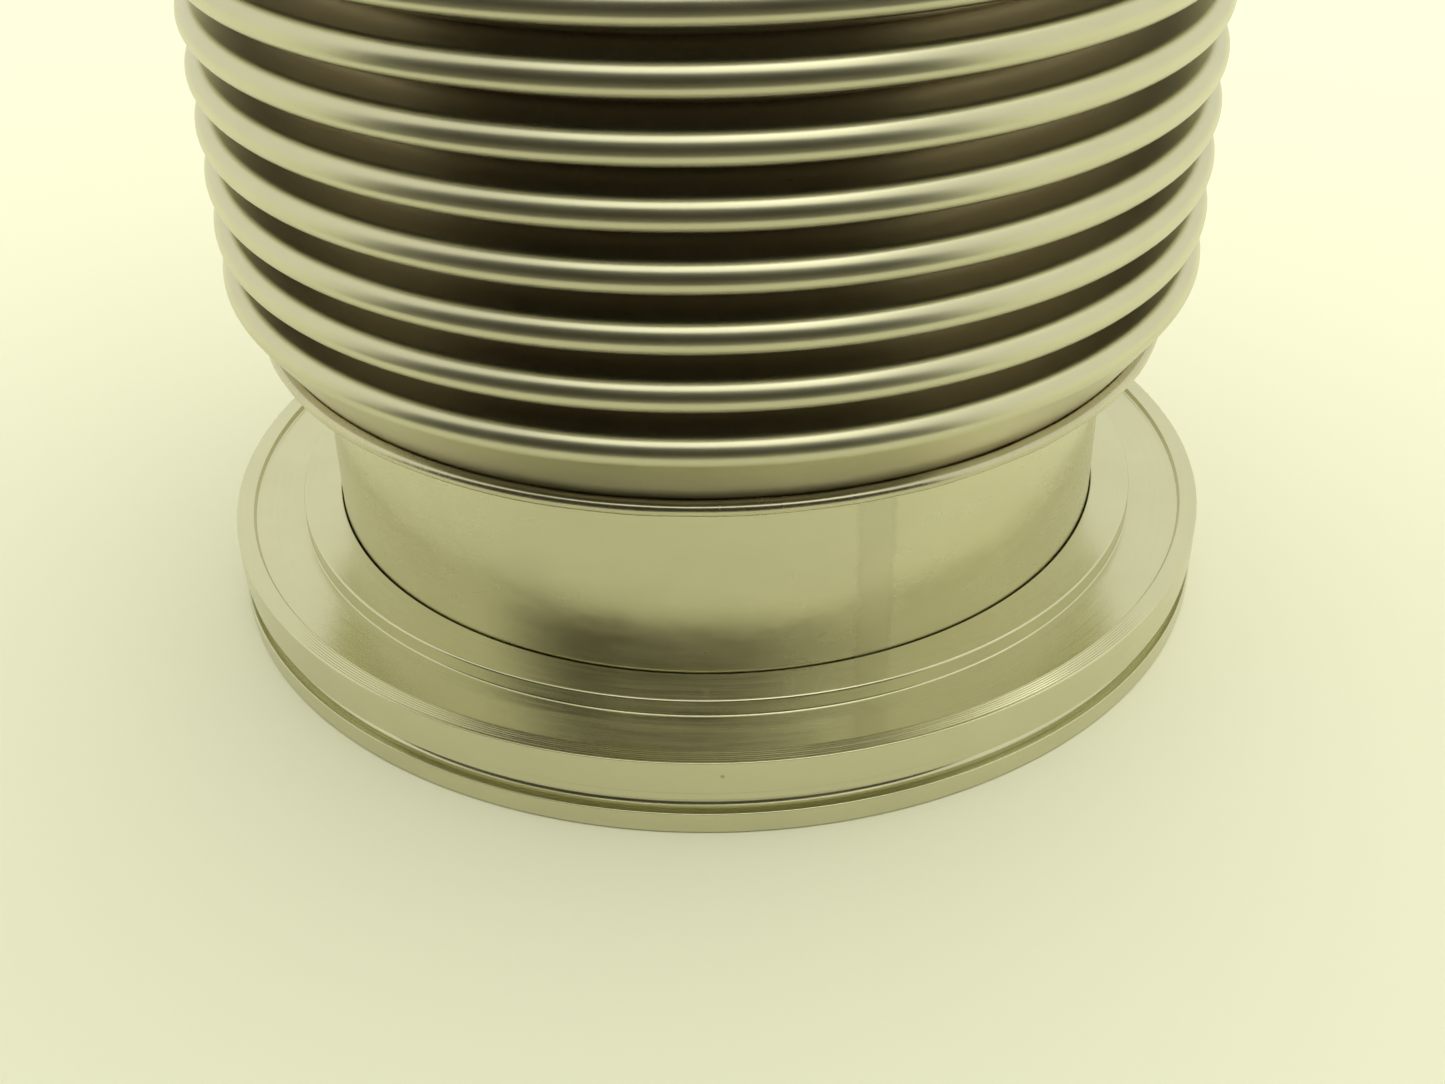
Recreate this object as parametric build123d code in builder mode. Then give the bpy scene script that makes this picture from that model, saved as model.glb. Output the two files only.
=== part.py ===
"""Metal bellows joint with a clamp flange at each end, built as separate solids.

The joint stands on the sealing face of its lower flange, at z = 0, with its axis on +Z.
From the bottom up: a flat clamp flange, a tube stub welded inside its bore, a collar with
an edge weld on the stub's end, a corrugated bellows whose conical end stands on the
collar's lip, then the same end turned over.
The bellows is one formed tube on a real joint. Here it is cut at the middle of each
flank into outer rings (crests) and inner rings (roots), so that it can bend and stretch.
"""
from build123d import *

import math
import os

# Driving dimensions, in millimetres
FLANGE_OUTER_R = 65.0
TUBE_OUTER_R = 50.8
TUBE_WALL = 2.0
CONVOLUTIONS = 16
PITCH = 6.35
CREST_OUTER_R = 60.8
ROOT_OUTER_R = 51.8
SHEET = 0.3
FIRST_CREST_Z = 46.0

# Flange: heights are measured from its sealing face
CENTRING_BORE_R = 51.0
CENTRING_BORE_DEPTH = 3.4
TUBE_SOCKET_R = 50.95
HUB_OUTER_R = 56.0
HUB_TOP_Z = 11.6
RECESS_OUTER_R = 62.5
RECESS_FLOOR_Z = 9.5
RIM_INNER_R = 62.8
RIM_TOP_Z = 10.2
EDGE_BREAK = 0.3
LAND_TOP_Z = 5.8
LAND_DEPTH = 0.15
RING_GROOVE_TOP_Z = 4.8
RING_GROOVE_BOTTOM_Z = 2.8
RING_GROOVE_DEPTH = 1.6

# Tube stub, collar, welds and the conical end of the bellows
TUBE_BOTTOM_Z = 5.0
FLANGE_WELD_LEG = 1.4
CUFF_BOTTOM_Z = 37.45
CUFF_BOTTOM_R = 55.0
COLLAR_OUTER_R = 54.75
COLLAR_HEIGHT = 4.5
COLLAR_LIP_R = 56.4
COLLAR_LIP_HEIGHT = 0.75
COLLAR_WELD_LEG = 1.2
COLLAR_WELD_HEIGHT = 0.5
EDGE_WELD_CENTRE_R = 56.6
EDGE_WELD_R = 0.75
EDGE_WELD_SIDES = 16
WELD_BULGE = 0.25

# The rings part in the middle of each flank, with a gap that lets them move
FLANK_SPLIT_R = 58.0
CONE_SPLIT_R = 58.6
SPLIT_GAP = 0.3

HALF_SHEET = SHEET / 2
ARC_R = PITCH / 4
CREST_ARC_CENTRE_R = CREST_OUTER_R - HALF_SHEET - ARC_R
ROOT_ARC_CENTRE_R = ROOT_OUTER_R - HALF_SHEET + ARC_R
TUBE_INNER_R = TUBE_OUTER_R - TUBE_WALL
TUBE_TOP_Z = CUFF_BOTTOM_Z + COLLAR_HEIGHT
TOTAL_HEIGHT = 2 * FIRST_CREST_Z + (CONVOLUTIONS - 1) * PITCH

# The cone runs from the cuff's lower end to the first crest's arc, and touches it
CONE_RUN = CREST_ARC_CENTRE_R - CUFF_BOTTOM_R
CONE_RISE = FIRST_CREST_Z - CUFF_BOTTOM_Z
CONE_LEAN = math.atan2(CONE_RUN, CONE_RISE) + math.asin(ARC_R / math.hypot(CONE_RUN, CONE_RISE))
CONE_TOP_R = CREST_ARC_CENTRE_R + ARC_R * math.cos(CONE_LEAN)
CONE_TOP_Z = FIRST_CREST_Z - ARC_R * math.sin(CONE_LEAN)
CONE_HALF_GAP = SPLIT_GAP / 2 + HALF_SHEET * math.cos(CONE_LEAN)

os.makedirs("parts", exist_ok=True)


def save(piece, name):
    """Label one finished solid and write it to its own file."""
    piece.label = name
    export_step(piece, f"parts/{name}.step")


def turned_over(piece):
    """Turn a piece of the lower end over, for the upper end."""
    return piece.mirror(Plane.XY.offset(TOTAL_HEIGHT / 2))


def save_pair(piece, name):
    """Write a piece of the lower end, and the same piece turned over for the upper end."""
    save(piece, f"lower_{name}")
    save(turned_over(piece), f"upper_{name}")


def cone_point(radius):
    """Give the point on the cone's middle line at a radius."""
    return radius, CUFF_BOTTOM_Z + (radius - CUFF_BOTTOM_R) / math.tan(CONE_LEAN)


def bellows_ring(middle_z, arc_centre_r, split_r):
    """Make one ring of sheet: an arc in section, with a short flat flank at each end."""
    tip_r = arc_centre_r + (ARC_R if arc_centre_r > split_r else -ARC_R)
    with BuildPart() as ring:
        with BuildSketch(Plane.XZ):
            with BuildLine():
                Line((split_r, middle_z - ARC_R), (arc_centre_r, middle_z - ARC_R))
                ThreePointArc(
                    (arc_centre_r, middle_z - ARC_R),
                    (tip_r, middle_z),
                    (arc_centre_r, middle_z + ARC_R),
                )
                Line((arc_centre_r, middle_z + ARC_R), (split_r, middle_z + ARC_R))
            trace(line_width=SHEET)
        revolve(axis=Axis.Z)
    return ring.part


# Clamp flange: hub, claw groove behind the rim, and a round ring groove in its outer edge
with BuildPart() as flange:
    with BuildSketch(Plane.XZ):
        with BuildLine():
            land_r = FLANGE_OUTER_R - LAND_DEPTH
            groove_r = (RING_GROOVE_TOP_Z - RING_GROOVE_BOTTOM_Z) / 2
            groove_centre_r = FLANGE_OUTER_R - RING_GROOVE_DEPTH + groove_r
            outline = Polyline(
                (groove_centre_r, RING_GROOVE_BOTTOM_Z),
                (land_r, RING_GROOVE_BOTTOM_Z),
                (FLANGE_OUTER_R, RING_GROOVE_BOTTOM_Z - LAND_DEPTH),
                (FLANGE_OUTER_R, EDGE_BREAK),
                (FLANGE_OUTER_R - EDGE_BREAK, 0),
                (CENTRING_BORE_R + EDGE_BREAK, 0),
                (CENTRING_BORE_R, EDGE_BREAK),
                (CENTRING_BORE_R, CENTRING_BORE_DEPTH),
                (TUBE_SOCKET_R, CENTRING_BORE_DEPTH),
                (TUBE_SOCKET_R, HUB_TOP_Z - EDGE_BREAK),
                (TUBE_SOCKET_R + EDGE_BREAK, HUB_TOP_Z),
                (HUB_OUTER_R - EDGE_BREAK, HUB_TOP_Z),
                (HUB_OUTER_R, HUB_TOP_Z - EDGE_BREAK),
                (HUB_OUTER_R, RECESS_FLOOR_Z),
                (RECESS_OUTER_R, RECESS_FLOOR_Z),
                (RIM_INNER_R, RIM_TOP_Z),
                (FLANGE_OUTER_R - EDGE_BREAK, RIM_TOP_Z),
                (FLANGE_OUTER_R, RIM_TOP_Z - EDGE_BREAK),
                (FLANGE_OUTER_R, LAND_TOP_Z),
                (land_r, LAND_TOP_Z - LAND_DEPTH),
                (land_r, RING_GROOVE_TOP_Z),
                (groove_centre_r, RING_GROOVE_TOP_Z),
            )
            ThreePointArc(
                outline @ 1,
                (FLANGE_OUTER_R - RING_GROOVE_DEPTH, RING_GROOVE_BOTTOM_Z + groove_r),
                outline @ 0,
            )
        make_face()
    revolve(axis=Axis.Z)
save_pair(flange.part, "flange")

# Tube stub: from a step inside the flange's bore to the top of the collar
with BuildPart() as tube:
    with BuildSketch(Plane.XY.offset(TUBE_BOTTOM_Z)):
        Circle(TUBE_OUTER_R)
        Circle(TUBE_INNER_R, mode=Mode.SUBTRACT)
    extrude(amount=TUBE_TOP_Z - TUBE_BOTTOM_Z)
save_pair(tube.part, "tube")

# Fillet weld inside the flange's bore, on the end of the tube
with BuildPart() as flange_weld:
    with BuildSketch(Plane.XZ):
        with BuildLine():
            middle_r = TUBE_SOCKET_R - FLANGE_WELD_LEG / 2 - WELD_BULGE
            middle_z = TUBE_BOTTOM_Z - FLANGE_WELD_LEG / 2 - WELD_BULGE
            legs = Polyline(
                (TUBE_SOCKET_R, TUBE_BOTTOM_Z - FLANGE_WELD_LEG),
                (TUBE_SOCKET_R, TUBE_BOTTOM_Z),
                (TUBE_SOCKET_R - FLANGE_WELD_LEG, TUBE_BOTTOM_Z),
            )
            ThreePointArc(legs @ 1, (middle_r, middle_z), legs @ 0)
        make_face()
    revolve(axis=Axis.Z)
save_pair(flange_weld.part, "flange_weld")

# Collar that fills the space between the tube and the bellows' conical end, with a lip
# that the bellows stands on
with BuildPart() as collar:
    with BuildSketch(Plane.XY.offset(CUFF_BOTTOM_Z)):
        Circle(COLLAR_OUTER_R)
    extrude(amount=COLLAR_HEIGHT)
    chamfer(collar.edges().group_by(Axis.Z)[-1], EDGE_BREAK)
    with BuildSketch(Plane.XY.offset(CUFF_BOTTOM_Z)):
        Circle(COLLAR_LIP_R)
    extrude(amount=-COLLAR_LIP_HEIGHT)
    with BuildSketch(Plane.XY.offset(CUFF_BOTTOM_Z - COLLAR_LIP_HEIGHT)):
        Circle(TUBE_OUTER_R)
    extrude(amount=COLLAR_HEIGHT + COLLAR_LIP_HEIGHT, mode=Mode.SUBTRACT)
save_pair(collar.part, "collar")

# Flat seam weld over the joint of tube and collar, inside the bellows
with BuildPart() as collar_weld:
    with BuildSketch(Plane.XZ):
        with BuildLine():
            seam = Line(
                (TUBE_OUTER_R - COLLAR_WELD_LEG, TUBE_TOP_Z),
                (TUBE_OUTER_R + COLLAR_WELD_LEG, TUBE_TOP_Z),
            )
            ThreePointArc(seam @ 1, (TUBE_OUTER_R, TUBE_TOP_Z + COLLAR_WELD_HEIGHT), seam @ 0)
        make_face()
    revolve(axis=Axis.Z)
save_pair(collar_weld.part, "collar_weld")

# Edge weld: a bead round the edge of the collar's lip, proud of it above and outside
with BuildPart() as edge_weld:
    with BuildSketch(Plane.XZ):
        with Locations((EDGE_WELD_CENTRE_R, CUFF_BOTTOM_Z)):
            RegularPolygon(EDGE_WELD_R, EDGE_WELD_SIDES)
        with Locations((COLLAR_LIP_R, CUFF_BOTTOM_Z)):
            Rectangle(
                2 * EDGE_WELD_R,
                2 * COLLAR_LIP_HEIGHT,
                align=(Align.MAX, Align.MAX),
                mode=Mode.SUBTRACT,
            )
    revolve(axis=Axis.Z)
save_pair(edge_weld.part, "edge_weld")

# Bellows cuff: the lower half of the bellows' conical end
with BuildPart() as cuff:
    with BuildSketch(Plane.XZ):
        with BuildLine():
            Line(
                cone_point(CUFF_BOTTOM_R),
                cone_point(CONE_SPLIT_R - CONE_HALF_GAP),
            )
        trace(line_width=SHEET)
        with BuildLine():
            Polyline(
                (CUFF_BOTTOM_R - 1, CUFF_BOTTOM_Z),
                (CUFF_BOTTOM_R + 1, CUFF_BOTTOM_Z),
                (CUFF_BOTTOM_R + 1, CUFF_BOTTOM_Z - 1),
                (CUFF_BOTTOM_R - 1, CUFF_BOTTOM_Z - 1),
                close=True,
            )
        make_face(mode=Mode.SUBTRACT)
    revolve(axis=Axis.Z)
save_pair(cuff.part, "bellows_cuff")

# End crests: on one side they run on into the upper half of the cone
with BuildPart() as end_crest:
    with BuildSketch(Plane.XZ):
        with BuildLine():
            Line(
                cone_point(CONE_SPLIT_R + CONE_HALF_GAP),
                (CONE_TOP_R, CONE_TOP_Z),
            )
            ThreePointArc(
                (CONE_TOP_R, CONE_TOP_Z),
                (CREST_ARC_CENTRE_R + ARC_R, FIRST_CREST_Z),
                (CREST_ARC_CENTRE_R, FIRST_CREST_Z + ARC_R),
            )
            Line(
                (CREST_ARC_CENTRE_R, FIRST_CREST_Z + ARC_R),
                (FLANK_SPLIT_R + SPLIT_GAP / 2, FIRST_CREST_Z + ARC_R),
            )
        trace(line_width=SHEET)
    revolve(axis=Axis.Z)
save(end_crest.part, "crest_01")
save(turned_over(end_crest.part), f"crest_{CONVOLUTIONS:02d}")

# Bellows: a crest ring for each convolution between the end crests, and a root ring
# between each two crests
for number in range(1, CONVOLUTIONS + 1):
    crest_z = FIRST_CREST_Z + (number - 1) * PITCH
    if 1 < number < CONVOLUTIONS:
        crest = bellows_ring(crest_z, CREST_ARC_CENTRE_R, FLANK_SPLIT_R + SPLIT_GAP / 2)
        save(crest, f"crest_{number:02d}")
    if number < CONVOLUTIONS:
        root_z = crest_z + PITCH / 2
        root = bellows_ring(root_z, ROOT_ARC_CENTRE_R, FLANK_SPLIT_R - SPLIT_GAP / 2)
        save(root, f"root_{number:02d}")
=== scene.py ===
"""The look of a metal bellows joint: turned flanges, drawn tubes, a formed bellows and welds."""
import math

import bpy
from mathutils import Matrix, Vector, noise


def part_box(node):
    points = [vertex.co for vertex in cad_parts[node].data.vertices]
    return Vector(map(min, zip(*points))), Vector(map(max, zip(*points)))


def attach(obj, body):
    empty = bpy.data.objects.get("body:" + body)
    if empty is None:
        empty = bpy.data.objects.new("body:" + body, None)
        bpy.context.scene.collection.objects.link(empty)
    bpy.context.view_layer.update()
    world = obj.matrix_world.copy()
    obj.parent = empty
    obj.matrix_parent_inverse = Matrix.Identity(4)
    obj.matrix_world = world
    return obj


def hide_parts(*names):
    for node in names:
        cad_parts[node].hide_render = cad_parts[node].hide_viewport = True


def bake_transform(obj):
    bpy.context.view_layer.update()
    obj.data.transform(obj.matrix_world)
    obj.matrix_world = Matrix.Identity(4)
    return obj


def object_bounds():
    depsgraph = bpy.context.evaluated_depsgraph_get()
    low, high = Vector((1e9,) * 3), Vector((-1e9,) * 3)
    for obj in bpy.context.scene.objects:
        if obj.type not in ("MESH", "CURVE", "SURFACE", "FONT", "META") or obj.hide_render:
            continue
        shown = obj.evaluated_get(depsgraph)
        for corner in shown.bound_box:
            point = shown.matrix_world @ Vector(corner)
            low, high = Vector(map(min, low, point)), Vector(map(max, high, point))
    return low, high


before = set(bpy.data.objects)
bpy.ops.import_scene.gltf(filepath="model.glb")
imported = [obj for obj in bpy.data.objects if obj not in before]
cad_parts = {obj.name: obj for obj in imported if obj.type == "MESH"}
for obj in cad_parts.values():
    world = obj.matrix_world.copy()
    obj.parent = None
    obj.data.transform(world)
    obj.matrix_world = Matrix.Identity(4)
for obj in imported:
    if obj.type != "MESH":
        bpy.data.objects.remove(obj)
cad_low, cad_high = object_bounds()

MM = 0.001

# Sizes read from the frame, in metres
HEIGHT = cad_high.z
FLANGE_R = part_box("lower_flange")[1].x
HUB_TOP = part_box("lower_flange")[1].z
TUBE_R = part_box("lower_tube")[1].x
TUBE_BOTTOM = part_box("lower_tube")[0].z
TUBE_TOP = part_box("lower_tube")[1].z
CUFF_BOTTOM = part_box("lower_bellows_cuff")[0].z
CREST_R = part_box("crest_01")[1].x
CRESTS = sum(name.startswith("crest_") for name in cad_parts)
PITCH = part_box("crest_03")[0].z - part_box("crest_02")[0].z
FIRST_CREST = sum(corner.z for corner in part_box("crest_02")) / 2 - PITCH

# The bellows' sheet, in metres. Fold radii run to the middle of the sheet. The cone's leans
# are from upright: under the crest, in the middle and at the foot.
SHEET = 0.3 * MM
ROOT_R = 51.8 * MM
CREST_FOLD_R = 1.7 * MM
ROOT_FOLD_R = 1.42 * MM
CONE_LEANS = [math.radians(angle) for angle in (27.0, 34.6, 34.2)]
CONE_TOP_BEND_R = 3.0 * MM

# How far to each side of its middle a flank, or a cone, would take up a bend
FLANK_REACH = 0.5 * MM
CONE_REACH = 2.8 * MM

# Where the painted shade in the bellows' roots is full, and where it ends: radii
ROOT_SHADE_FULL_R = 54.0 * MM
ROOT_SHADE_END_R = 60.1 * MM

# The flange's section, in millimetres
FOOT_BEVEL = 0.3
RING_GROOVE_R = 63.4
RING_GROOVE_LOW, RING_GROOVE_TOP = 2.8, 4.8
RING_GROOVE_BEND = 0.85
LIP_R = 64.85
LIP_TOP, BAND_BOTTOM = 5.75, 5.9
RIM_TOP, RIM_EDGE_TOP = 10.2, 10.15
RIM_INNER_R, RIM_FOOT_R = 62.8, 62.5
RECESS_Z = 9.5
HUB_R = 56.0
BORE_R = 51.0
TUBE_HOLE_R = 50.95
TUBE_HOLE_BOTTOM = 3.4

# The fine grooves that turning left on the rim's top, in millimetres
TURNING_COUNT = 12
TURNING_START_R = 64.74
TURNING_PITCH = 0.16
TURNING_DEPTH = 0.045

# The tube and the edge weld, in millimetres
TUBE_WALL = 2.0
TUBE_EDGE = 0.2
BEAD_R = 0.75
BEAD_MIDDLE_R = 56.6
BEAD_ROUNDING = 0.95
BEAD_TOE_ROUNDING = 0.6
BEAD_TOE_IN, BEAD_TOE_UP = 0.1, 0.2

# How finely round pieces are divided
FLANGE_STEPS = 224
TUBE_STEPS = 192
BELLOWS_STEPS = 160
BEAD_STEPS = 480

# The camera: its place about the lower flange, and small turns of its own
CAMERA_DISTANCE = 0.25242
CAMERA_ELEVATION = 32.82
CAMERA_YAW = 0.152
CAMERA_PITCH = -0.80
CAMERA_ROLL = 1.19
CAMERA_LENS = 44.31

# The tube's lengthwise weld: its angle from the front, and its half widths in metres
SEAM_TURN = math.radians(20.4)
SEAM_CORE = 1.4 * MM
SEAM_EDGE = 2.0 * MM
SEAM_LIMIT = 2.6 * MM

# The dark surroundings that the steel mirrors
MAT_R = 0.15
MAT_COLOUR = (0.12, 0.11, 0.08)
ABOVE_FLOOR = 0.001


# ---------------------------------------------------------------- turned meshes

def right_of(direction):
    """Turn a direction in the (radius, height) plane a quarter turn to the right."""
    return Vector((direction.y, -direction.x))


def swung(direction, angle):
    """Turn a direction in the (radius, height) plane to the left by an angle."""
    c, s = math.cos(angle), math.sin(angle)
    return Vector((direction.x * c - direction.y * s, direction.x * s + direction.y * c))


def rounded_outline(corners, arc_steps=5):
    """Round the corners of a closed outline, given as (radius, height, corner radius) in mm.

    The outline runs up its outer side. Each point comes back with the surface's normal
    before it and after it, so that flat faces stay flat beside a rounded edge.
    """
    points = [Vector(corner[:2]) * MM for corner in corners]
    outline = []
    for i, point in enumerate(points):
        radius = corners[i][2] * MM
        before = right_of((point - points[i - 1]).normalized())
        after = right_of((points[(i + 1) % len(points)] - point).normalized())
        if radius == 0:
            outline.append((point, before, after))
            continue
        turn = math.atan2(before.cross(after), before.dot(after))
        side = math.copysign(radius, turn)
        start = point + right_of(before) * radius * math.tan(abs(turn) / 2)
        centre = start - before * side
        for step in range(arc_steps + 1):
            normal = swung(before, turn * step / arc_steps)
            outline.append((centre + normal * side, normal, normal))
    return outline


def sheet_outline(middle_line):
    """Give the middle line of a sheet, as (point, outward normal), two faces and two ends."""
    half = SHEET / 2
    outside = [(point + normal * half, normal, normal) for point, normal in middle_line]
    inside = [(point - normal * half, -normal, -normal) for point, normal in reversed(middle_line)]
    top, bottom = -right_of(outside[-1][1]), right_of(outside[0][1])
    outside[-1] = (outside[-1][0], outside[-1][1], top)
    inside[0] = (inside[0][0], top, inside[0][2])
    inside[-1] = (inside[-1][0], inside[-1][1], bottom)
    outside[0] = (outside[0][0], bottom, outside[0][2])
    return outside + inside


def turned(name, outline, steps, ripple=None):
    """Turn a closed outline round Z into a mesh with exact normals."""
    count = len(outline)
    verts, faces, normals = [], [], []
    turns = [2 * math.pi * i / steps for i in range(steps)]
    for angle in turns:
        push = ripple(angle) if ripple else 0
        for point, before, after in outline:
            radius, height = point + (before + after) / 2 * push
            verts.append((radius * math.cos(angle), radius * math.sin(angle), height))
    for i in range(steps):
        here, there = turns[i], turns[(i + 1) % steps]
        for j in range(count):
            k = (j + 1) % count
            row, next_row = i * count, (i + 1) % steps * count
            faces.append((row + j, next_row + j, next_row + k, row + k))
            first, last = outline[j][2], outline[k][1]
            for normal, angle in ((first, here), (first, there), (last, there), (last, here)):
                normals.append((normal.x * math.cos(angle), normal.x * math.sin(angle), normal.y))
    mesh = bpy.data.meshes.new(name)
    mesh.from_pydata(verts, [], faces)
    mesh.polygons.foreach_set("use_smooth", [True] * len(faces))
    if ripple is None:
        mesh.normals_split_custom_set(normals)
    mesh.update()
    piece = bpy.data.objects.new(name, mesh)
    bpy.context.scene.collection.objects.link(piece)
    return piece


def flipped(outline):
    """Turn an outline of the lower end over, for the upper end."""
    over = Vector((1, -1))
    lift = Vector((0, HEIGHT))
    return [(p * over + lift, b * over, a * over) for p, a, b in reversed(outline)]


def at_both_ends(name, outline, steps, material, ripple=None):
    """Make a piece of the lower end and its twin of the upper end, in place of the CAD nodes."""
    for end, shape in (("lower", outline), ("upper", flipped(outline))):
        piece = turned(f"{end}_{name}_look", shape, steps, ripple)
        piece.data.materials.append(material)
        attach(piece, f"{end}_end")
        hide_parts(f"{end}_{name}")


# ---------------------------------------------------------------- materials

class Nodes:
    """A material's node tree, with one short call for each node."""

    def __init__(self, name):
        self.material = bpy.data.materials.new(name)
        self.material.use_nodes = True
        self.tree = self.material.node_tree
        self.shader = self.tree.nodes["Principled BSDF"]

    def math(self, operation, *values):
        """A Math node on numbers or sockets."""
        node = self.tree.nodes.new("ShaderNodeMath")
        node.operation = operation
        for i, value in enumerate(values):
            if isinstance(value, (int, float)):
                node.inputs[i].default_value = value
            else:
                self.tree.links.new(value, node.inputs[i])
        return node.outputs[0]

    def times(self, first, second):
        """The product of two numbers or sockets."""
        return self.math("MULTIPLY", first, second)

    def plus(self, first, second):
        """The sum of two numbers or sockets."""
        return self.math("ADD", first, second)

    def minus(self, first, second):
        """The difference of two numbers or sockets."""
        return self.math("SUBTRACT", first, second)

    def length(self, x, y):
        """The length of a flat vector."""
        return self.math("SQRT", self.plus(self.times(x, x), self.times(y, y)))

    def xyz(self, vector):
        """The three numbers of a vector."""
        node = self.tree.nodes.new("ShaderNodeSeparateXYZ")
        self.tree.links.new(vector, node.inputs[0])
        return node.outputs

    def between(self, value, low, high, to_low, to_high):
        """Map a number from one range to another, held at the ends."""
        node = self.tree.nodes.new("ShaderNodeMapRange")
        for socket, number in (
            ("From Min", low), ("From Max", high), ("To Min", to_low), ("To Max", to_high),
        ):
            node.inputs[socket].default_value = number
        self.tree.links.new(value, node.inputs["Value"])
        return node.outputs[0]

    def mixed(self, factor, first, second):
        """Mix two colours by a factor."""
        node = self.tree.nodes.new("ShaderNodeMix")
        node.data_type = "RGBA"
        self.tree.links.new(factor, node.inputs["Factor"])
        for socket, colour in (("A", first), ("B", second)):
            slots = [i for i in node.inputs if i.name == socket and i.type == "RGBA"]
            if isinstance(colour, tuple):
                slots[0].default_value = (*colour, 1)
            else:
                self.tree.links.new(colour, slots[0])
        return [o for o in node.outputs if o.type == "RGBA"][0]

    def noise(self, vector, scale, detail=2.0, roughness=0.5):
        """A grey noise of a given scale, per metre."""
        node = self.tree.nodes.new("ShaderNodeTexNoise")
        node.inputs["Scale"].default_value = scale
        node.inputs["Detail"].default_value = detail
        node.inputs["Roughness"].default_value = roughness
        self.tree.links.new(vector, node.inputs["Vector"])
        return node.outputs[0]

    def place(self):
        """The point in the row frame."""
        return self.tree.nodes.new("ShaderNodeTexCoord").outputs["Object"]

    def around(self, along, across):
        """Coordinates that run slowly round Z and fast across, for turning and drawing marks."""
        x, y, z = self.xyz(self.place())
        radius = self.length(x, y)
        join = self.tree.nodes.new("ShaderNodeCombineXYZ")
        for i, flat in enumerate((x, y)):
            turn = self.math("DIVIDE", flat, radius)
            self.tree.links.new(self.times(turn, along), join.inputs[i])
        self.tree.links.new(self.times(self.plus(z, radius), across), join.inputs[2])
        return join.outputs[0]

    def bump(self, height, distance, under=None):
        """Tilt the surface by a height, in metres, on top of another bump."""
        node = self.tree.nodes.new("ShaderNodeBump")
        node.inputs["Distance"].default_value = distance
        self.tree.links.new(height, node.inputs["Height"])
        if under is not None:
            self.tree.links.new(under, node.inputs["Normal"])
        return node.outputs[0]

    def finish(self, **sockets):
        """Set or link the shader's own sockets."""
        for name, value in sockets.items():
            socket = self.shader.inputs[name.replace("_", " ")]
            if isinstance(value, bpy.types.NodeSocket):
                self.tree.links.new(value, socket)
            else:
                socket.default_value = value
        return self.material


def fine_pits(nodes, place):
    """How much of a small dark pit there is at a point: 1 in the middle of one, and few of them."""
    cells = nodes.tree.nodes.new("ShaderNodeTexVoronoi")
    cells.inputs["Scale"].default_value = 130.0
    nodes.tree.links.new(place, cells.inputs["Vector"])
    pick = nodes.tree.nodes.new("ShaderNodeSeparateColor")
    nodes.tree.links.new(cells.outputs["Color"], pick.inputs[0])
    rare = nodes.between(pick.outputs[0], 0.95, 0.96, 0.0, 1.0)
    return nodes.times(rare, nodes.between(cells.outputs["Distance"], 0.03, 0.06, 1.0, 0.0))


def steel(name, colour, shade, roughness, marks, depth, stretch, extra=None):
    """Stainless steel with marks that run round it, soft patches and a few fine pits.

    shade is how dark its darkest patches are beside its colour, roughness its two ends.
    marks is how often the marks change along and across them, and depth their height in
    metres. stretch is how far highlights are drawn out across the marks. extra adds more to
    the colour, the roughness and the tilt.
    """
    nodes = Nodes(name)
    place = nodes.place()
    grain = nodes.noise(nodes.around(*marks), 1.0, 2.0, 0.5)
    patches = nodes.noise(place, 38.0, 3.0, 0.5)
    clouds = nodes.noise(place, 140.0, 2.0, 0.5)
    pits = fine_pits(nodes, place)
    tone = nodes.plus(nodes.times(patches, 0.5), nodes.times(grain, 0.2))
    tone = nodes.plus(tone, nodes.times(clouds, 0.3))
    dark = tuple(c * shade for c in colour)
    mix = nodes.mixed(nodes.between(tone, 0.35, 0.62, 0.0, 1.0), dark, colour)
    mix = nodes.mixed(nodes.times(pits, 0.75), mix, (0.09, 0.075, 0.045))
    gloss = nodes.plus(nodes.times(grain, 0.5), nodes.times(patches, 0.5))
    rough = nodes.between(gloss, 0.35, 0.65, *roughness)
    tilt = nodes.bump(grain, depth)
    if extra:
        mix, rough, tilt = extra(nodes, mix, rough, tilt)
    material = nodes.finish(
        Base_Color=mix, Metallic=1.0, Roughness=rough, Normal=tilt, Anisotropic=stretch)
    if stretch:
        nodes.shader.inputs["Anisotropic Rotation"].default_value = 0.25
        tangent = nodes.tree.nodes.new("ShaderNodeTangent")
        tangent.direction_type = "RADIAL"
        tangent.axis = "Z"
        nodes.tree.links.new(tangent.outputs[0], nodes.shader.inputs["Tangent"])
    return material


def painted_root_shade(nodes, colour, rough, tilt):
    """Darken the sheet's colour towards the roots: painted shade in the deep gaps between the
    folds.

    The radius is taken from the piece's own box.
    """
    box = nodes.tree.nodes.new("ShaderNodeTexCoord").outputs["Generated"]
    x, y = (nodes.minus(number, 0.5) for number in nodes.xyz(box)[:2])
    low, high = (0.5 * radius / CREST_R for radius in (ROOT_SHADE_FULL_R, ROOT_SHADE_END_R))
    # painted shade: full at the root radius, fading to none towards the crest
    depth = nodes.between(nodes.length(x, y), low, high, 1.0, 0.0)
    return nodes.mixed(depth, colour, (0.60, 0.545, 0.44)), rough, tilt


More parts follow.
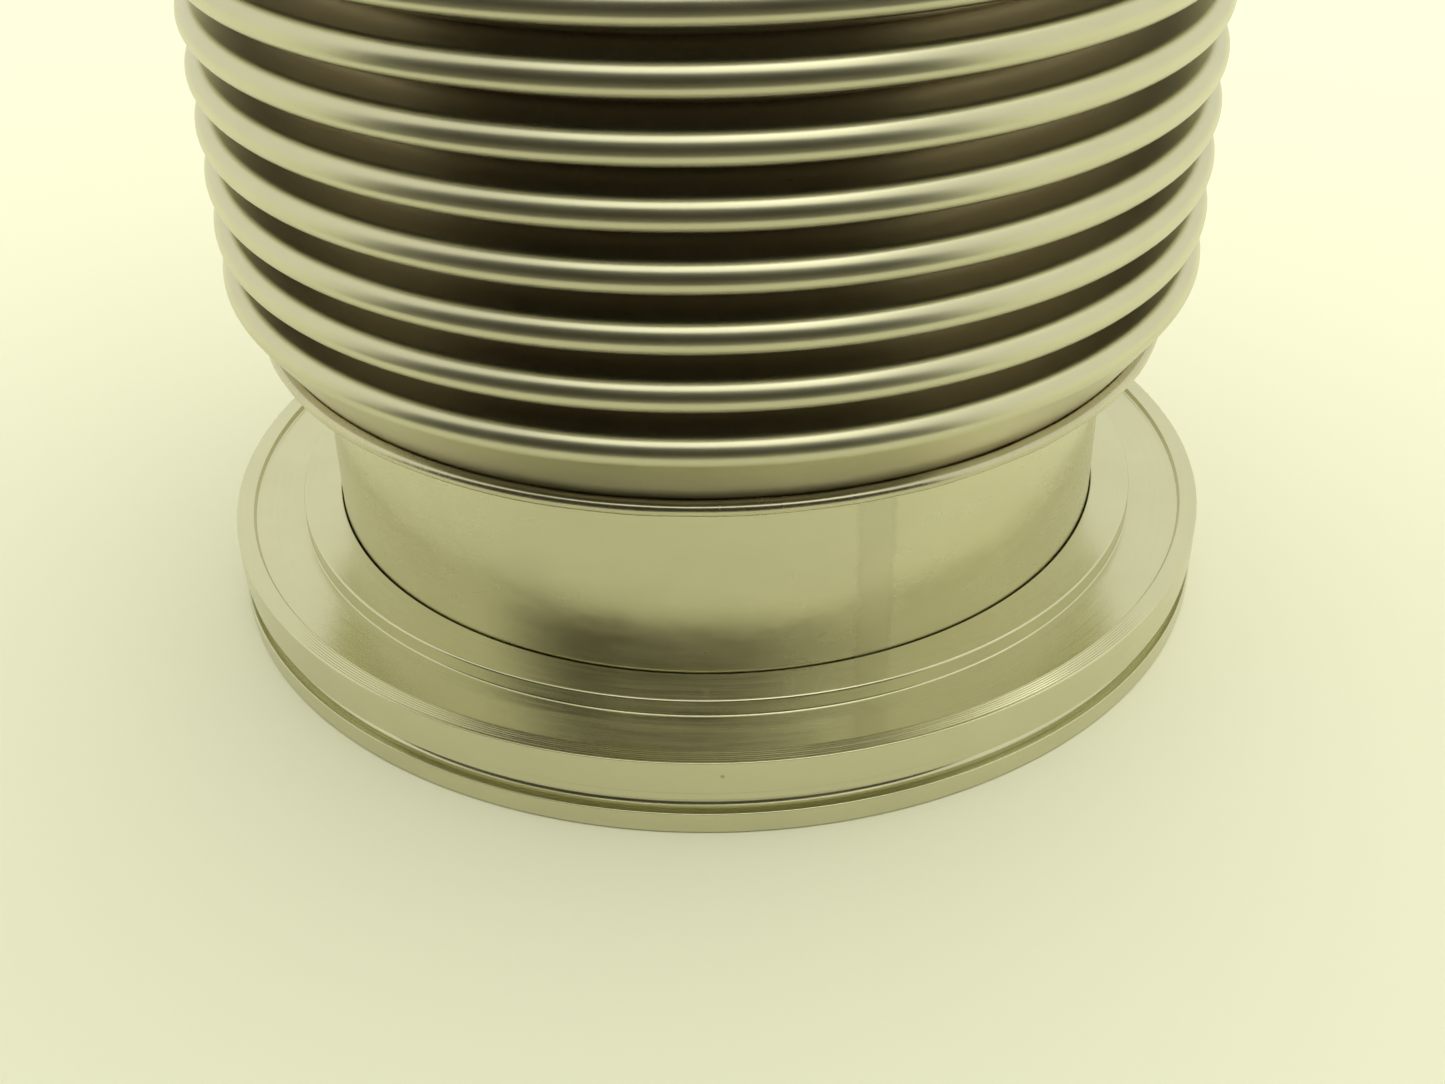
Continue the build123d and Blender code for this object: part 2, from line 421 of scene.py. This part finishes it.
def seam_band(nodes, colour, rough, tilt):
    """The tube's lengthwise weld, rolled nearly flat: a faint band with fine ripples."""
    x, y, z = nodes.xyz(nodes.place())
    c, s = math.cos(SEAM_TURN), math.sin(SEAM_TURN)
    across = nodes.plus(nodes.times(x, c), nodes.times(y, s))
    facing = nodes.minus(nodes.times(x, s), nodes.times(y, c))
    near = nodes.between(facing, 0.0, 0.01, 0.0, 1.0)
    wander = nodes.times(nodes.minus(nodes.noise(nodes.place(), 160.0), 0.5), 0.0012)
    offset = nodes.math("ABSOLUTE", nodes.plus(across, wander))
    band = nodes.times(near, nodes.between(offset, SEAM_CORE, SEAM_LIMIT, 1.0, 0.0))
    to_edge = nodes.math("ABSOLUTE", nodes.minus(offset, SEAM_EDGE))
    edge = nodes.times(near, nodes.between(to_edge, 0.0001, 0.0006, 1.0, 0.0))
    ripple = nodes.math("SINE", nodes.times(z, 5200.0))
    height = nodes.plus(nodes.times(nodes.times(ripple, band), 0.12), band)
    colour = nodes.mixed(nodes.times(band, 0.10), colour, (0.40, 0.35, 0.22))
    colour = nodes.mixed(nodes.times(edge, 0.08), colour, (0.26, 0.22, 0.13))
    rough = nodes.plus(rough, nodes.times(band, 0.05))
    return colour, rough, nodes.bump(height, 3.5e-6, tilt)


turned_steel = steel(
    "turned_steel", (0.64, 0.625, 0.445), shade=0.93, roughness=(0.17, 0.27),
    marks=(4.0, 2600.0), depth=2.5e-6, stretch=0.55)
tube_steel = steel(
    "tube_steel", (0.65, 0.63, 0.45), shade=0.92, roughness=(0.21, 0.29),
    marks=(9.0, 500.0), depth=0.9e-6, stretch=0.3, extra=seam_band)
# the bellows' steel carries painted shade that darkens it towards the roots
bellows_steel = steel(
    "bellows_steel", (0.64, 0.62, 0.45), shade=0.93, roughness=(0.29, 0.35),
    marks=(6.0, 700.0), depth=1.5e-6, stretch=0.0, extra=painted_root_shade)
weld_steel = steel(
    "weld_steel", (0.60, 0.57, 0.41), shade=0.85, roughness=(0.20, 0.28),
    marks=(120.0, 400.0), depth=1.5e-6, stretch=0.0)


# ---------------------------------------------------------------- flanges, tubes and welds

hub_top = HUB_TOP / MM
flange_r = FLANGE_R / MM
TURNING_MARKS = [
    (TURNING_START_R - TURNING_PITCH * i, RIM_TOP - TURNING_DEPTH * (i % 2), 0)
    for i in range(TURNING_COUNT)
]
FLANGE_OUTLINE = rounded_outline([
    (flange_r, 0.0, FOOT_BEVEL),
    (flange_r, RING_GROOVE_LOW, 0.12),
    (RING_GROOVE_R, RING_GROOVE_LOW, RING_GROOVE_BEND),
    (RING_GROOVE_R, RING_GROOVE_TOP, RING_GROOVE_BEND),
    (LIP_R, RING_GROOVE_TOP, 0.06),
    (LIP_R, LIP_TOP, 0.06),
    (flange_r, BAND_BOTTOM, 0.06),
    (flange_r, RIM_EDGE_TOP, 0.12),
    *TURNING_MARKS,
    (RIM_INNER_R, RIM_TOP, 0.12),
    (RIM_FOOT_R, RECESS_Z, 0.2),
    (HUB_R, RECESS_Z, 0.2),
    (HUB_R, hub_top, 0.28),
    (TUBE_HOLE_R, hub_top, 0.18),
    (TUBE_HOLE_R, TUBE_HOLE_BOTTOM, 0),
    (BORE_R, TUBE_HOLE_BOTTOM, 0),
    (BORE_R, 0.0, FOOT_BEVEL),
])
at_both_ends("flange", FLANGE_OUTLINE, FLANGE_STEPS, turned_steel)

tube_r = TUBE_R / MM
TUBE_OUTLINE = rounded_outline([
    (tube_r, TUBE_BOTTOM / MM, TUBE_EDGE),
    (tube_r, TUBE_TOP / MM, TUBE_EDGE),
    (tube_r - TUBE_WALL, TUBE_TOP / MM, TUBE_EDGE),
    (tube_r - TUBE_WALL, TUBE_BOTTOM / MM, TUBE_EDGE),
])
at_both_ends("tube", TUBE_OUTLINE, TUBE_STEPS, tube_steel)


def bead_ripple(angle):
    """How far the edge weld's surface stands in or out, round the joint."""
    ripples = math.sin(angle * 190) * 0.012
    wander = noise.noise(Vector((math.cos(angle), math.sin(angle), 0)) * 9) * 0.07
    return (ripples + wander) * MM


bead_z = CUFF_BOTTOM / MM
BEAD_OUTER_R, BEAD_INNER_R = BEAD_MIDDLE_R + BEAD_R, BEAD_MIDDLE_R - BEAD_R
EDGE_WELD_OUTLINE = rounded_outline([
    (BEAD_OUTER_R, bead_z - BEAD_R, BEAD_R * BEAD_ROUNDING),
    (BEAD_OUTER_R, bead_z + BEAD_R, BEAD_R * BEAD_ROUNDING),
    (BEAD_INNER_R - BEAD_TOE_IN, bead_z + BEAD_R + BEAD_TOE_UP, BEAD_R * BEAD_TOE_ROUNDING),
    (BEAD_INNER_R, bead_z - BEAD_R, BEAD_R * BEAD_ROUNDING),
])
at_both_ends("edge_weld", EDGE_WELD_OUTLINE, BEAD_STEPS, weld_steel, bead_ripple)

for end in ("lower", "upper"):
    for node, material in (
        ("flange_weld", weld_steel), ("collar_weld", weld_steel), ("collar", turned_steel),
    ):
        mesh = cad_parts[f"{end}_{node}"].data
        mesh.materials.clear()
        mesh.materials.append(material)


# ---------------------------------------------------------------- bellows

CREST_MIDDLE_R = CREST_R - SHEET / 2
ROOT_MIDDLE_R = ROOT_R - SHEET / 2


def flank_slope(rise, run, radius_sum):
    """The slope of the straight flank between two arcs that curve opposite ways."""
    return math.atan2(rise, run) - math.asin(radius_sum / math.hypot(rise, run))


def crest_bend(crest_z, slope, steps=7):
    """The middle line of a crest's lower half, from its flank out to its widest point.

    slope is the angle from level at which the flank arrives.
    """
    centre = Vector((CREST_MIDDLE_R - CREST_FOLD_R, crest_z))
    line = []
    for i in range(steps + 1):
        turn = (math.pi / 2 - slope) * (1 - i / steps)
        normal = Vector((math.cos(turn), -math.sin(turn)))
        line.append((centre + normal * CREST_FOLD_R, normal))
    return line


def straight(start, finish, normal, steps):
    """Points of a straight part of the middle line, without its last point."""
    return [(start.lerp(finish, i / steps), normal) for i in range(steps)]


def half_fold(root_z, crest_z):
    """The sheet's middle line from a root up and out to a crest, with its flank's height."""
    root = Vector((ROOT_MIDDLE_R + ROOT_FOLD_R, root_z))
    run = CREST_MIDDLE_R - CREST_FOLD_R - root.x
    slope = flank_slope(crest_z - root_z, run, CREST_FOLD_R + ROOT_FOLD_R)
    bend_steps = 7
    line = []
    for i in range(bend_steps):
        turn = (math.pi / 2 - slope) * i / bend_steps
        normal = Vector((math.cos(turn), -math.sin(turn)))
        line.append((root - normal * ROOT_FOLD_R, normal))
    crest = crest_bend(crest_z, slope)
    normal = crest[0][1]
    start = root - normal * ROOT_FOLD_R
    line += straight(start, crest[0][0], normal, 5)
    return line + crest, (start.y + crest[0][0].y) / 2


def arc_line(start, normal_turns, radius, steps):
    """A round part of the middle line that runs down from a point, between two leans."""
    first, last = normal_turns
    centre = start - Vector((math.cos(first), -math.sin(first))) * radius
    line = []
    for i in range(1, steps + 1):
        lean = first + (last - first) * i / steps
        normal = Vector((math.cos(lean), -math.sin(lean)))
        line.append((centre + normal * radius, normal))
    return line


def cone_end(crest_z):
    """The sheet's middle line from its conical end up to the first crest, with its middle height.

    Under the crest the sheet bends in to its lean, and then runs nearly straight to its foot.
    """
    top_lean, lean, foot_lean = CONE_LEANS
    crest = crest_bend(crest_z, math.pi / 2 - top_lean)
    shoulder = arc_line(crest[0][0], (top_lean, lean), CONE_TOP_BEND_R, 4)
    drop = shoulder[-1][0].y - CUFF_BOTTOM
    radius = drop / (math.sin(foot_lean) - math.sin(lean))
    cone = arc_line(shoulder[-1][0], (lean, foot_lean), radius, 12)
    return cone[::-1] + shoulder[::-1] + crest, (CUFF_BOTTOM + crest[0][0].y) / 2


def turned_over(line, middle_z):
    """Reflect a middle line in a level plane, so that it still runs upwards."""
    flip = Vector((1, -1))
    lift = Vector((0, 2 * middle_z))
    return [(point * flip + lift, normal * flip) for point, normal in reversed(line)]


def bellows_piece(name, line, nodes):
    """Make one half fold in place of the CAD nodes it hides."""
    piece = turned(name, sheet_outline(line), BELLOWS_STEPS)
    piece.data.materials.append(bellows_steel)
    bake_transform(piece)
    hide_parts(*nodes)


def build_bellows():
    """Two half folds for each crest. The first and the last run on into a conical end."""
    for number in range(1, CRESTS + 1):
        crest = f"crest_{number:02d}"
        lift = (number - 1) * PITCH
        crest_z = FIRST_CREST + lift
        root_line, root_flank = half_fold(crest_z - PITCH / 2, crest_z)

        line, flank_z, reach = root_line, root_flank, FLANK_REACH
        below, nodes = f"root_{number - 1:02d}", [crest]
        if number == 1:
            (line, flank_z), reach = cone_end(crest_z), CONE_REACH
            below, nodes = "lower_end", ["lower_bellows_cuff", crest]
        bellows_piece(f"fold_{number:02d}_lower", line, nodes)

        line, flank_z, reach = root_line, root_flank, FLANK_REACH
        above, nodes = f"root_{number:02d}", [f"root_{number:02d}"]
        if number == CRESTS:
            cone_line, cone_z = cone_end(FIRST_CREST)
            shift = Vector((0, lift))
            line, reach = [(point + shift, normal) for point, normal in cone_line], CONE_REACH
            flank_z = cone_z + lift
            above, nodes = "upper_end", ["upper_bellows_cuff"]
        line = turned_over(line, crest_z)
        flank_z = 2 * crest_z - flank_z
        bellows_piece(f"fold_{number:02d}_upper", line, nodes)


build_bellows()


# ---------------------------------------------------------------- floor, light and camera

def pale_floor(name, size, colour):
    """A flat square under the object, which isn't part of it."""
    mesh = bpy.data.meshes.new(name)
    half = size / 2
    corners = [(-half, -half, 0), (half, -half, 0), (half, half, 0), (-half, half, 0)]
    mesh.from_pydata(corners, [], [(0, 1, 2, 3)])
    floor = bpy.data.objects.new(name, mesh)
    bpy.context.scene.collection.objects.link(floor)
    nodes = Nodes(name)
    floor.data.materials.append(nodes.finish(Base_Color=(*colour, 1), Roughness=0.7))


def soft_light(name, size, place, energy, colour):
    """A square area light that points at the middle of the object."""
    data = bpy.data.lights.new(name, "AREA")
    data.shape = "SQUARE"
    data.size = size
    data.energy = energy
    data.color = colour
    light = bpy.data.objects.new(name, data)
    bpy.context.scene.collection.objects.link(light)
    light.location = place
    aim = Vector((0, 0, HEIGHT / 3)) - Vector(place)
    light.rotation_mode = "QUATERNION"
    light.rotation_quaternion = aim.to_track_quat("-Z", "Y")


def dark_sheet(name, verts, faces, colour):
    """A dark sheet that the camera doesn't see, but the steel mirrors."""
    mesh = bpy.data.meshes.new(name)
    mesh.from_pydata(verts, [], faces)
    sheet = bpy.data.objects.new(name, mesh)
    bpy.context.scene.collection.objects.link(sheet)
    nodes = Nodes(name)
    sheet.data.materials.append(nodes.finish(Base_Color=(*colour, 1), Roughness=0.8))
    sheet.visible_camera = False
    return sheet


def dark_surround(name, radius, span, height, colour):
    """A dark curved screen in front of the object, lower at its two ends, and a mat before it.

    The mat takes no light from the floor.
    """
    steps = 48
    first, last = (math.radians(angle) for angle in span)
    screen, mat = [], []
    for i in range(steps + 1):
        part = i / steps
        angle = first + (last - first) * part
        top = height * math.sqrt(max(0.0, 1 - (2 * part - 1) ** 2)) + 0.01
        x, y = math.sin(angle), -math.cos(angle)
        foot = (x * radius, y * radius, ABOVE_FLOOR)
        screen += [foot, (x * radius, y * radius, top)]
        mat += [(x * MAT_R, y * MAT_R, ABOVE_FLOOR), foot]
    faces = [(2 * i, 2 * i + 1, 2 * i + 3, 2 * i + 2) for i in range(steps)]
    dark_sheet(name + "_screen", screen, faces, colour)
    sheet = dark_sheet(name + "_mat", mat, faces, MAT_COLOUR)
    sheet.visible_diffuse = False
    sheet.visible_shadow = False


def build_studio():
    """A pale floor, an even pale room, soft light from above and a dark screen in front."""
    pale_floor("floor", 6.0, (0.875, 0.875, 0.715))
    dark_surround("dark", 0.55, (-70, 48), 0.60, (0.04, 0.034, 0.024))
    world = bpy.data.worlds.new("room")
    world.use_nodes = True
    background = world.node_tree.nodes["Background"]
    background.inputs["Color"].default_value = (0.98, 0.98, 0.82, 1)
    background.inputs["Strength"].default_value = 0.98
    bpy.context.scene.world = world
    soft_light("top_light", 1.6, (0.25, 0.3, 1.7), 8.5, (1.0, 1.0, 0.90))
    soft_light("front_light", 1.5, (0.05, -0.72, 1.5), 5.0, (1.0, 1.0, 0.88))
    bpy.context.scene.view_settings.view_transform = "Standard"


def build_camera():
    """A camera that looks down at the lower flange from the front."""
    rise = math.radians(CAMERA_ELEVATION)
    place = Vector((0, -math.cos(rise), math.sin(rise))) * CAMERA_DISTANCE
    ahead = -place.normalized()
    right = ahead.cross(Vector((0, 0, 1))).normalized()
    axes = Matrix((right, right.cross(ahead), ahead))
    yaw, pitch, roll = (math.radians(a) for a in (CAMERA_YAW, CAMERA_PITCH, CAMERA_ROLL))
    swing = Matrix((
        (math.cos(yaw), 0, -math.sin(yaw)), (0, 1, 0), (math.sin(yaw), 0, math.cos(yaw)),
    ))
    tilt = Matrix.Rotation(pitch, 3, "X")
    turn = Matrix.Rotation(roll, 3, "Z")
    right, up, ahead = turn @ tilt @ swing @ axes
    data = bpy.data.cameras.new("camera")
    data.sensor_width = 36.0
    data.lens = CAMERA_LENS
    data.clip_start = 0.01
    camera = bpy.data.objects.new("camera", data)
    bpy.context.scene.collection.objects.link(camera)
    facing = Matrix((right, up, -ahead)).transposed().to_4x4()
    camera.matrix_world = Matrix.Translation(place) @ facing
    bpy.context.scene.camera = camera


build_studio()
build_camera()
